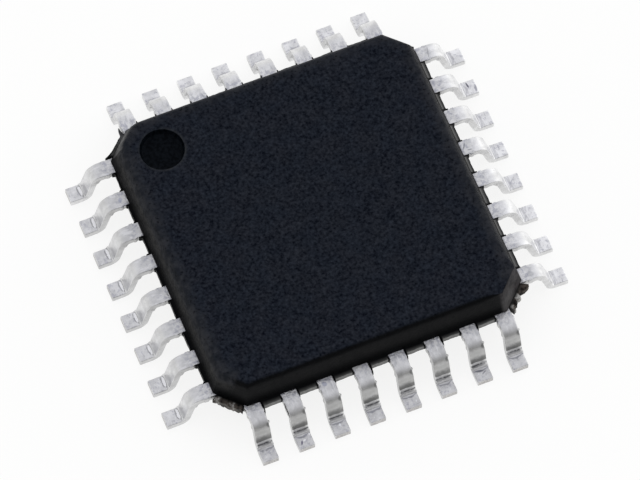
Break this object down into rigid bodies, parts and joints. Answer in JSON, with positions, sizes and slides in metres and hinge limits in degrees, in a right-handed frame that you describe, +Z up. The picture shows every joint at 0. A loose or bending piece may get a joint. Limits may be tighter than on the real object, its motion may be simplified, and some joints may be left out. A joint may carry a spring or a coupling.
{
  "type": "quad flat pack chip",
  "caption": "Square black moulded chip package with a row of bent tinned leads on each side, holding a die on a paddle with bond wires to the leads.",
  "frame": {"origin": "on the seating plane that the soles of the leads share, under the middle of the body", "axes": "+Z up out of the seating plane, through the top of the body; +X and +Y square to the sides, with the index recess towards -X and +Y"},
  "size_m": [0.009, 0.009, 0.0014],
  "materials": {
    "mould_compound": "matt black epoxy moulding compound, finely spark-textured",
    "tinned_lead": "matt tin plate over copper alloy",
    "lead_frame_copper": "bare stamped copper alloy",
    "silver_epoxy": "silver-filled epoxy, dull",
    "silicon": "polished silicon with a passivated circuit face",
    "gold_wire": "drawn gold wire"
  },
  "bodies": {
    "root": {"mould_body": "mould_compound", "die_paddle": "lead_frame_copper", "die_attach": "silver_epoxy", "silicon_die": "silicon", "bond_wires_left": "gold_wire", "bond_wires_front": "gold_wire", "bond_wires_right": "gold_wire", "bond_wires_back": "gold_wire", "lead_01": "tinned_lead", "lead_02": "tinned_lead", "lead_03": "tinned_lead", "lead_04": "tinned_lead", "lead_05": "tinned_lead", "lead_06": "tinned_lead", "lead_07": "tinned_lead", "lead_08": "tinned_lead", "lead_09": "tinned_lead", "lead_10": "tinned_lead", "lead_11": "tinned_lead", "lead_12": "tinned_lead", "lead_13": "tinned_lead", "lead_14": "tinned_lead", "lead_15": "tinned_lead", "lead_16": "tinned_lead", "lead_17": "tinned_lead", "lead_18": "tinned_lead", "lead_19": "tinned_lead", "lead_20": "tinned_lead", "lead_21": "tinned_lead", "lead_22": "tinned_lead", "lead_23": "tinned_lead", "lead_24": "tinned_lead", "lead_25": "tinned_lead", "lead_26": "tinned_lead", "lead_27": "tinned_lead", "lead_28": "tinned_lead", "lead_29": "tinned_lead", "lead_30": "tinned_lead", "lead_31": "tinned_lead", "lead_32": "tinned_lead"}
  },
  "joints": []
}
